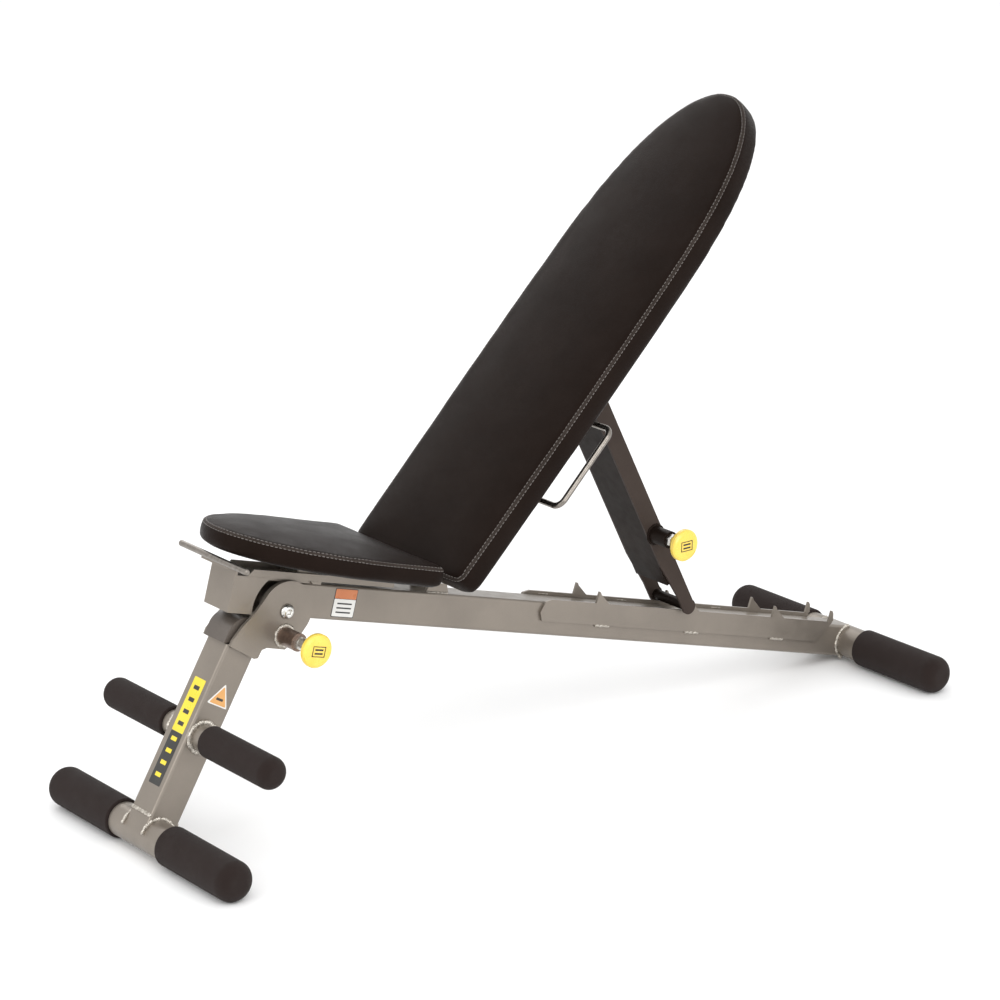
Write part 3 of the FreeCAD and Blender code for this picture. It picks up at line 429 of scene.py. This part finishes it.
def seat_outline():
    """Outline of the seat pad: half an ellipse in front, square behind."""
    nose, tail, half, reach, corner = -32.5, 288.0, 136.0, 200.0, 15
    right = []
    for k in range(1, 25):
        angle = k * math.pi / 48
        right.append((nose + reach - reach * math.cos(angle), half * math.sin(angle)))
    right += [(210, half - 0.3), (tail - corner - 1, half - 0.8)]
    right += [(tail - corner + corner * math.sin(a), half - corner - 1 + corner * math.cos(a))
              for a in (0.4, 0.8, 1.2, 1.57)]
    right += [(tail + 0.4, y) for y in (95.0, 50.0)]
    return mirror_outline(right)


def back_outline():
    """Outline of the back pad: square below, nearly parallel sides and a rounded top."""
    bottom, taper, top, half, half_bottom = -16.5, 420.0, 846.0, 136.5, 132.5
    corner, widening, power = 16, 244, 3.2
    right = [(bottom, y) for y in (20.0, 60.0, 95.0)]
    right += [(bottom + corner - corner * math.cos(a), half_bottom - corner + corner * math.sin(a))
              for a in (0, 0.4, 0.8, 1.2, 1.57)]
    right += [(bottom + t, half_bottom + (half - half_bottom) * min(1, t / widening))
              for t in (60, 120, 200, 260, 330)]
    for k in range(0, 36):
        along = math.sin(k * math.pi / 72)
        right.append((taper + (top - taper) * along, half * math.sqrt(1 - along ** power)))
    return mirror_outline(right)


def inset_line(line, distance):
    """Loop moved towards its inside in its own plane."""
    ways = tangents(line)
    turn = sum(line[i].x * line[(i + 1) % len(line)].y - line[(i + 1) % len(line)].x * line[i].y
               for i in range(len(line)))
    sign = 1 if turn > 0 else -1
    return [p + Vector((-w.y, w.x, 0)) * sign * distance for p, w in zip(line, ways)]


# Inset and height of the blank's rings, from its base up.
PROFILE = ((10.0, 0.0), (5.0, 0.4), (2.6, 1.6), (1.6, 4.5), (1.2, 12.0), (1.1, 22.0), (1.3, 30.0))


def blank(outline, seam):
    """Closed block under the vinyl before it swells, in local millimetres."""
    loop = resample(outline, 7.0)
    heap = Heap()
    loops = [[Vector((p.x, p.y, z)) for p in inset_line(loop, inset)] for inset, z in PROFILE if z < seam - 4]
    for inset, z in ((1.6, seam - 2.5), (2.6, seam - 0.4), (6.0, seam + 1.4), (12.0, seam + 2.6)):
        loops.append([Vector((p.x, p.y, z)) for p in inset_line(loop, inset)])
    heap.rings(loops)
    mesh = bpy.data.meshes.new("blank")
    mesh.from_pydata([tuple(v * MM) for v in heap.verts], [], heap.faces)
    shape = bmesh.new()
    shape.from_mesh(mesh)
    bmesh.ops.recalc_face_normals(shape, faces=shape.faces)
    shape.to_mesh(mesh)
    shape.free()
    return mesh


def baked(obj):
    """Mesh of an object with its modifiers applied."""
    graph = bpy.context.evaluated_depsgraph_get()
    graph.update()
    return bpy.data.meshes.new_from_object(obj.evaluated_get(graph))


SWELL_STEPS = 20
SIDE_CAP = 2.2


def swell(mesh, outline, seam, voxel, cap):
    """Remesh the blank, hold its base and its seam, and blow the vinyl up with a cloth simulation."""
    obj = bpy.data.objects.new("swelling", mesh)
    bpy.context.scene.collection.objects.link(obj)
    remesh = obj.modifiers.new("remesh", "REMESH")
    remesh.mode = "VOXEL"
    remesh.voxel_size = voxel * MM
    even = baked(obj)
    obj.modifiers.clear()
    obj.data = even
    seam_tree = line_tree(resample(inset_line(outline, 2.2), 3.0), seam)
    held = obj.vertex_groups.new(name="held")
    for v in even.vertices:
        co = v.co / MM
        near = seam_tree.find(co)[2]
        if co.z < 5.0:
            held.add([v.index], 1.0, "REPLACE")
        elif near < 4.2:
            held.add([v.index], 0.9, "REPLACE")
    cloth = obj.modifiers.new("cloth", "CLOTH")
    settings = cloth.settings
    settings.quality = 5
    settings.mass = 0.3
    settings.tension_stiffness = 18
    settings.compression_stiffness = 18
    settings.bending_stiffness = 1.2
    settings.use_pressure = True
    settings.uniform_pressure_force = 9
    settings.vertex_group_mass = "held"
    settings.effector_weights.gravity = 0
    cloth.point_cache.frame_start = 1
    cloth.point_cache.frame_end = SWELL_STEPS
    start = [v.co.copy() for v in even.vertices]
    for step in range(1, SWELL_STEPS + 1):
        bpy.context.scene.frame_set(step)
    swollen = baked(obj)
    obj.modifiers.clear()
    for v, before in zip(swollen.vertices, start):
        move = v.co - before
        limit = cap * MM if move.z > abs(move.x) + abs(move.y) else SIDE_CAP * MM
        if move.length > 1e-9:
            v.co = before + move * (limit * math.tanh(move.length / limit) / move.length)
    bpy.context.scene.frame_set(1)
    bpy.data.objects.remove(obj)
    return swollen


def line_tree(line, height):
    tree = KDTree(len(line))
    for i, p in enumerate(line):
        tree.insert((p.x, p.y, height), i)
    tree.balance()
    return tree


def dress(mesh, outline, seam):
    """Smooth and subdivide the swollen form, then draw the seam in and pucker the vinyl beside it."""
    shape = bmesh.new()
    shape.from_mesh(mesh)
    for _ in range(5):
        bmesh.ops.smooth_vert(shape, verts=shape.verts, factor=0.5, use_axis_x=True, use_axis_y=True,
                              use_axis_z=True)
    shape.to_mesh(mesh)
    shape.free()
    obj = bpy.data.objects.new("dressing", mesh)
    bpy.context.scene.collection.objects.link(obj)
    subdivide = obj.modifiers.new("subdivide", "SUBSURF")
    subdivide.levels = subdivide.render_levels = 1
    fine = baked(obj)
    bpy.data.objects.remove(obj)
    line = resample(inset_line(outline, 2.0), 2.0)
    tree = line_tree(line, seam)
    centre = sum(line, Vector()) / len(line)
    for v in fine.vertices:
        co = v.co / MM
        _, index, gap = tree.find(co)
        if gap > 22:
            continue
        inward = (centre - line[index]).normalized() * 0.75 - Vector((0, 0, 0.65))
        groove = 1.5 * max(0.0, 1 - (gap / 3.4) ** 2)
        wave = math.sin(index * 2.0 / 11 + 2.2 * math.sin(index / 37))
        pucker = 0.28 * math.exp(-((gap - 8) / 6) ** 2) * wave
        v.co += (inward * (groove + pucker)) * MM
    return fine


def stitch_rows(mesh, outline, seam, name, matrix, body):
    """Two rows of stitches, one on each side of the seam, laid on the finished surface."""
    tree = BVHTree.FromPolygons([v.co for v in mesh.vertices], [p.vertices for p in mesh.polygons])
    heap = Heap()
    for inset, height in ((4.2, seam + 3.2), (0.6, seam - 3.2)):
        points = resample(inset_line(outline, inset), 6.2)
        for p, way in zip(points, tangents(points)):
            spot, normal, _, _ = tree.find_nearest(Vector((p.x, p.y, height)) * MM)
            if spot is None:
                continue
            heap.lump(spot / MM - normal * 0.12, way, normal, 4.5, 1.15, 1.3, 6)
    heap.make(name, matrix, THREAD, body, "upholstery")


def seam_cord(mesh, outline, seam, name, matrix, body):
    """The two folded edges of vinyl that meet in the seam, in a lighter vinyl that is a painted highlight."""
    tree = BVHTree.FromPolygons([v.co for v in mesh.vertices], [p.vertices for p in mesh.polygons])
    heap = Heap()
    points = resample(inset_line(outline, 1.6), 3.0)
    spots = []
    for p in points:
        spot, normal, _, _ = tree.find_nearest(Vector((p.x, p.y, seam + 0.2)) * MM)
        spots.append((spot / MM, normal))
    ways = tangents([s for s, _ in spots])
    for offset in (-0.95, 0.95):
        loops = []
        for (spot, normal), way in zip(spots, ways):
            side = way.cross(normal).normalized()
            centre = spot + side * offset - normal * 0.1
            loops.append([centre + side * (math.cos(a) * 0.95) + normal * (math.sin(a) * 0.95)
                          for a in (k * math.pi / 4 for k in range(8))])
        loops.append(loops[0])
        heap.rings(loops, caps=False)
    # The cords take the lighter vinyl: painted highlight along the seam.
    heap.make(name, matrix, VINYL_SEAM_PAINTED_HIGHLIGHT, body, "upholstery")


def cushion(name, outline, seam, matrix, body, nodes, voxel, cap):
    """One upholstered pad: vinyl form, seam, stitches, lining and staples."""
    outline = resample(outline, 3.0)
    mesh = swell(blank(outline, seam), outline, seam, voxel, cap)
    fine = dress(mesh, outline, seam)
    stitch_rows(fine, outline, seam, f"{name}_stitches", matrix, body)
    seam_cord(fine, outline, seam, f"{name}_seam", matrix, body)
    fine.transform(matrix @ Matrix.Scale(1 / MM, 4))
    pad = adopt(f"{name}_cover", fine, VINYL, body)
    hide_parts(*nodes)
    lining(name, outline, matrix, body)


def lining(name, outline, matrix, body):
    """Thin lining under the board, folded under at its edge and stapled."""
    heap = Heap()
    loop = resample(outline, 9.0)
    loops = [[Vector((p.x, p.y, z)) for p in inset_line(loop, inset)]
             for inset, z in ((13.0, 0.5), (12.2, 0.1), (12.2, -0.35), (13.0, -0.7), (20.0, -0.72),
                              (22.0, -0.5), (30.0, -0.5))]
    heap.rings(loops)
    heap.make(f"{name}_lining", matrix, LINING, body, "plywood")
    wires = Heap()
    row = resample(inset_line(outline, 17.0), 38.0)
    for p, way in zip(row, tangents(row)):
        lean = way.lerp(Vector((-way.y, way.x, 0)), random.uniform(-0.18, 0.18))
        wires.lump(Vector((p.x, p.y, -0.95)), lean, Vector((0, 0, -1)), 10.5, 1.1, 0.7, 6)
    wires.make(f"{name}_staples", matrix, ZINC, body, "zinc")


# Welds, labels and small fittings --------------------------------------------------------------

def ring_points(centre, radius, normal):
    """Points round a circle."""
    normal = Vector(normal).normalized()
    side = normal.orthogonal().normalized()
    other = normal.cross(side)
    count = max(12, int(2 * math.pi * radius / 2.2))
    return [Vector(centre) + (side * math.cos(a) + other * math.sin(a)) * radius
            for a in (k * 2 * math.pi / count for k in range(count))]


def weld(heap, points, out, size=3.4, closed=True, step=2.1):
    """Row of overlapping ripples along a joint."""
    row = resample([Vector(p) for p in points], step, closed)
    for i, (p, way) in enumerate(zip(row, tangents(row, closed))):
        grow = 1 + 0.12 * math.sin(i * 1.7) + random.uniform(-0.06, 0.06)
        normal = Vector(out)
        side = way.cross(normal).normalized()
        heap.lump(p, side, normal, size * 1.25 * grow, size * 1.15 * grow, size * 0.75 * grow, 8)


def welds():
    """Bright and painted beads where the photograph's joints are."""
    leg, rail, arm, back = Heap(), Heap(), Heap(), Heap()
    ring = 27.0
    leg_pin, arm_pin = (13.5, -35.6, -32.7), (-5.0, -41.6, 149.0)
    for sign in (-1, 1):
        face = sign * TUBE_HALF
        out = (0, sign, 0)
        roller = (LEG_AXIS, face + sign * 1.2, ROLLER_RISE + LEG_FOOT)
        weld(leg, ring_points(roller, 21.2, (0, 1, 0)), out, 7.2, step=3.4)
        foot = [(LEG_AXIS + ring * math.cos(a), face, LEG_FOOT + ring * math.sin(a))
                for a in (k * math.pi / 16 for k in range(17))]
        weld(leg, foot, out, 5.6, closed=False, step=2.8)
        tail = [(RAIL_LENGTH - ring * math.sin(a), face, ring * math.cos(a))
                for a in (k * math.pi / 16 for k in range(2, 15))]
        weld(rail, tail, out, 6.4, closed=False, step=3.2)
        for start in (680, 866, 1050):
            low_edge = [(start, sign * 27.2, -4.2), (start + 24, sign * 27.2, -4.4)]
            weld(rail, low_edge, (0, sign, -1), 4.6, closed=False)
        for start in (600, 760, 960):
            top_edge = [(start, sign * 26.4, 26.4), (start + 18, sign * 26.4, 26.4)]
            weld(rail, top_edge, (0, sign, 1), 2.6, closed=False)
        hinge_ear = [(350, sign * 20.4, 25.8), (387, sign * 20.4, 25.8)]
        weld(rail, hinge_ear, (0, sign, 1), 3.0, closed=False)
        side_rail = [(16, sign * 43.0, 9.0), (60, sign * 43.0, 9.0)]
        weld(back, side_rail, (0, -sign, -1), 3.4, closed=False)
    for sign in (-1, 1):
        foot_top = [(LEG_AXIS + sign * TUBE_HALF, y, LEG_FOOT + 25.8) for y in (-22, -8, 8, 22)]
        weld(leg, foot_top, (sign, 0, 0.4), 4.4, closed=False)
    weld(leg, ring_points(leg_pin, 14.4, (0, 1, 0)), (0, -1, 0), 5.4, step=2.8)
    weld(arm, ring_points(arm_pin, 14.2, (0, 1, 0)), (0, -1, 0), 4.4)
    for start in (-28, 17):
        handle = [(-16.0, start, 42.4), (-16.0, start + 11, 42.4)]
        weld(rail, handle, (0.5, 0, 1), 3.2, closed=False)
    leg.make("leg_welds", LEG, WELD, "leg", "zinc")
    rail.make("rail_welds", RAIL, WELD, "frame", "zinc")
    arm.make("arm_welds", ARM, BLACK_PAINT, "arm_channel", "black_paint")
    back.make("back_welds", BACK, WELD, "back_rest", "zinc")


def sticker(name, matrix, corners, normal, material, body, radius=2.0, thick=0.25):
    """Thin label with round corners on a flat face; corners go round it."""
    normal = Vector(normal).normalized()
    outline = []
    count = len(corners)
    for i, corner in enumerate(corners):
        corner, before, after = Vector(corner), Vector(corners[i - 1]), Vector(corners[(i + 1) % count])
        first = corner + (before - corner).normalized() * radius
        last = corner + (after - corner).normalized() * radius
        for k in range(6):
            f = k / 5
            outline.append(first.lerp(corner, f).lerp(corner.lerp(last, f), f))
    heap = Heap()
    centre = sum(outline, Vector()) / len(outline)
    shrink = [centre + (p - centre) * 0.985 for p in outline]
    heap.rings([outline, [p + normal * thick * 0.7 for p in outline], [p + normal * thick for p in shrink]])
    obj = heap.make(name, matrix, material, body, "cap")
    for face in obj.data.polygons:
        face.use_smooth = False
    return obj


def front_patch(x, y0, y1, z0, z1):
    """Corners of a rectangle that faces the front."""
    return [(x, y0, z0), (x, y1, z0), (x, y1, z1), (x, y0, z1)]


def side_patch(y, x0, x1, z0, z1):
    """Corners of a rectangle that faces the near side."""
    return [(x0, y, z0), (x1, y, z0), (x1, y, z1), (x0, y, z1)]


def labels():
    """Plain stickers with no words where the bench has its labels."""
    front, near = (-1, 0, 0), (0, -1, 0)
    lift, gap, ink = 0.25, 0.05, 0.12
    x = LEG_AXIS - TUBE_HALF - gap
    low, mid, high = LEG_FOOT + 66, LEG_FOOT + 145, LEG_FOOT + 226
    for name, start, end, material in (
            ("leg_strip_dark", low, mid, LABEL_BLACK),
            ("leg_strip_bright", mid + 0.4, high, LABEL_YELLOW)):
        sticker(name, LEG, front_patch(x, -15, 12, start, end), front, material, "leg")
    for i in range(4):
        for half, z, material in (
                ("dark", low + 12 + i * 18, LABEL_YELLOW),
                ("bright", mid + 10 + i * 18, LABEL_BLACK)):
            bar = front_patch(x - lift, -8, 5, z, z + 6)
            sticker(f"leg_strip_bar_{half}_{i}", LEG, bar, front, material, "leg", 0.8)
    y = -TUBE_HALF - gap
    badge = LEG_FOOT + 200
    rim = [(-57, y, badge), (-20, y, badge), (-38.5, y, badge + 33)]
    sticker("leg_badge_rim", LEG, rim, near, LABEL_WHITE, "leg", 3)
    inner = [(-53.6, y - lift, badge + 1.8), (-23.4, y - lift, badge + 1.8), (-38.5, y - lift, badge + 29)]
    sticker("leg_badge", LEG, inner, near, LABEL_AMBER, "leg", 2.6)
    bar = side_patch(y - 2 * lift, -44.5, -32.5, badge + 8.0, badge + 11.5)
    sticker("leg_badge_bar", LEG, bar, near, LABEL_BLACK, "leg", 0.8, ink)
    for name, x0, x1, z0, z1, up, material in (
            ("rail_label_rim", 181, 221, -20, 22, 0, LABEL_BLACK),
            ("rail_label_orange", 182, 220, 7, 21, lift, LABEL_ORANGE),
            ("rail_label_white", 182, 220, -19, 6.4, lift, LABEL_WHITE)):
        sticker(name, RAIL, side_patch(y - up, x0, x1, z0, z1), near, material, "frame", 1.6)
    for i in range(3):
        z = -14 + i * 6.4
        line = side_patch(y - 2 * lift, 188, 214, z, z + 2.2)
        sticker(f"rail_label_line_{i}", RAIL, line, near, LABEL_BLACK, "frame", 0.6, ink)


def knob_marks():
    """Raised black frame with two bars on each knob's face, in place of words."""
    for pin, lean in (("leg_pin", 15.0), ("arm_pin", 0.0)):
        low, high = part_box(f"{pin}_knob")
        centre = (low + high) / 2
        spot = Matrix.Translation((centre.x, low.y + 0.0002, centre.z)) \
            @ Matrix.Rotation(math.radians(lean), 4, "Y") @ Matrix.Scale(MM, 4)
        bars = [(-10, 10, 6.6, 7.6), (-10, 10, -7.6, -6.6), (-10.8, -9.8, -7.6, 7.6), (9.8, 10.8, -7.6, 7.6),
                (-6.8, 6.8, 1.5, 3.9), (-6.8, 6.8, -3.9, -1.5)]
        heap = Heap()
        for x0, x1, z0, z1 in bars:
            loop = [Vector((a, 0.3, b)) for a, b in ((x0, z0), (x1, z0), (x1, z1), (x0, z1))]
            heap.rings([loop, [p + Vector((0, -0.75, 0)) for p in loop]])
        heap.make(f"{pin}_mark", spot, BLACK_PLASTIC, pin, "cap")


def button_bolt(name, node, body):
    """Button-head bolt with a hexagon socket, drawn about the CAD bolt's own axis."""
    low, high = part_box(node)
    centre = (low + high) / 2
    head, shank = 11.0, 6.0
    near, far = (low.y - centre.y) / MM, (high.y - centre.y) / MM
    seat = near + 6.0
    sides = 48

    def circle(radius, y):
        return [Vector((radius * math.cos(a), y, radius * math.sin(a)))
                for a in (k * 2 * math.pi / sides for k in range(sides))]

    def socket(radius, y):
        loop = []
        for k in range(sides):
            a = k * 2 * math.pi / sides
            edge = radius * math.cos(math.pi / 6) / math.cos((a % (math.pi / 3)) - math.pi / 6)
            loop.append(Vector((edge * math.cos(a), y, edge * math.sin(a))))
        return loop

    heap = Heap()
    heap.rings([
        circle(shank - 0.7, far), circle(shank, far - 0.8), circle(shank, seat), circle(head - 0.5, seat),
        circle(head, seat - 0.5), circle(head, seat - 1.6), circle(head - 0.9, seat - 3.2),
        circle(head - 2.4, seat - 4.7), circle(head - 4.0, seat - 5.6), circle(head - 5.0, seat - 5.9),
        socket(4.7, near), socket(4.3, near + 0.4), socket(4.3, near + 3.4), socket(2.0, near + 4.2),
    ])
    spot = Matrix.Translation(centre) @ Matrix.Scale(MM, 4)
    obj = heap.make(name, spot, ZINC, body, "zinc")
    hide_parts(node)


def rail_plugs():
    """Ribbed plastic plugs in the open ends of the back rest's side rails."""
    profile = ((-10, 8.0, 13.0), (0, 8.0, 13.0), (0.1, 9.8, 14.8), (2.0, 9.8, 14.8), (3.4, 8.6, 13.6),
               (3.8, 6.5, 11.5))
    rail_across, rail_depth = 53.0, 15.0
    heap = Heap()
    for sign in (-1, 1):
        for x, way in ((8.0, -1), (640.0, 1)):
            y0, z0 = sign * rail_across, BACK_PAD_RISE - 0.1 - rail_depth
            heap.rings([[Vector((x + way * along, y0 + half_y * a, z0 + half_z * b))
                         for a, b in box_round(0.82)] for along, half_y, half_z in profile])
    heap.make("back_rail_plugs", BACK, BLACK_PLASTIC, "back_rest", "cap")


def box_round(flat, steps=4):
    """Unit square with round corners, as factors."""
    out = []
    for quarter in range(4):
        for k in range(steps + 1):
            a = (quarter + k / steps) * math.pi / 2
            cx = flat if math.cos(quarter * math.pi / 2 + math.pi / 4) > 0 else -flat
            cy = flat if math.sin(quarter * math.pi / 2 + math.pi / 4) > 0 else -flat
            out.append((cx + (1 - flat) * math.cos(a), cy + (1 - flat) * math.sin(a)))
    return out


# Light, floor and camera -----------------------------------------------------------------------

def area_light(name, spot, aim, size, power):
    light = bpy.data.lights.new(name, "AREA")
    light.shape = "RECTANGLE"
    light.size, light.size_y = size
    light.energy = power
    obj = bpy.data.objects.new(name, light)
    obj.location = spot
    obj.rotation_euler = (Vector(aim) - Vector(spot)).to_track_quat("-Z", "Y").to_euler()
    bpy.context.scene.collection.objects.link(obj)


def studio():
    """Plain pale floor, white surroundings and four soft lights."""
    n = Nodes("floor_paper")
    tone = n.mix(n.fit(n.noise(3, 3), 0.3, 0.7, 0, 1), (0.88, 0.88, 0.88), (0.91, 0.91, 0.91))
    n.bump(n.noise(180, 3), 0.0001, 0.2)
    n.finish(tone, n.fit(n.noise(12, 3), 0.3, 0.7, 0.7, 0.8))
    mesh = bpy.data.meshes.new("floor")
    mesh.from_pydata([(-60, -60, 0), (60, -60, 0), (60, 60, 0), (-60, 60, 0)], [], [(0, 1, 2, 3)])
    mesh.materials.append(n.mat)
    floor = bpy.data.objects.new("floor", mesh)
    bpy.context.scene.collection.objects.link(floor)
    world = bpy.data.worlds.new("studio")
    world.use_nodes = True
    world.node_tree.nodes["Background"].inputs["Color"].default_value = (1, 1, 1, 1)
    world.node_tree.nodes["Background"].inputs["Strength"].default_value = 1.15
    bpy.context.scene.world = world
    area_light("key", (-1.6, -2.6, 3.2), (0, 0, 0.4), (2.4, 2.4), 50)
    area_light("low", (0.9, -4.4, 0.9), (0, 0, 0.5), (3.2, 1.4), 45)
    area_light("back", (1.2, 3.4, 2.6), (-0.3, 0, 0.5), (3.0, 1.6), 25)
    area_light("side", (-3.6, -0.4, 1.6), (-0.3, 0, 0.4), (1.6, 1.6), 25)
    bpy.context.scene.view_settings.view_transform = "Standard"


def camera():
    """Camera at the photograph's viewing angle."""
    data = bpy.data.cameras.new("photo")
    data.sensor_width = 36
    data.lens = 124.69
    data.clip_start, data.clip_end = 0.1, 200
    obj = bpy.data.objects.new("photo", data)
    obj.location = (-3.0011, -3.8235, 1.9182)
    obj.rotation_euler = Vector((0.58474, 0.75359, -0.30032)).to_track_quat("-Z", "Y").to_euler()
    bpy.context.scene.collection.objects.link(obj)
    bpy.context.scene.camera = obj


# Assembly --------------------------------------------------------------------------------------

paint_nodes()
round_edges()
cushion("seat", seat_outline(), 29.5, SEAT, "frame", ("seat_pad", "seat_board"), 4.5, 15.0)
cushion("back", back_outline(), 41.5, BACK_PAD, "back_rest", ("back_pad", "back_board"), 5.0, 12.0)
welds()
labels()
knob_marks()
button_bolt("pivot_button_bolt", "pivot_bolt", "frame")
button_bolt("back_hinge_button_bolt", "back_hinge_bolt", "frame")
button_bolt("arm_hinge_button_bolt", "arm_hinge_bolt", "back_rest")
rail_plugs()
studio()
camera()
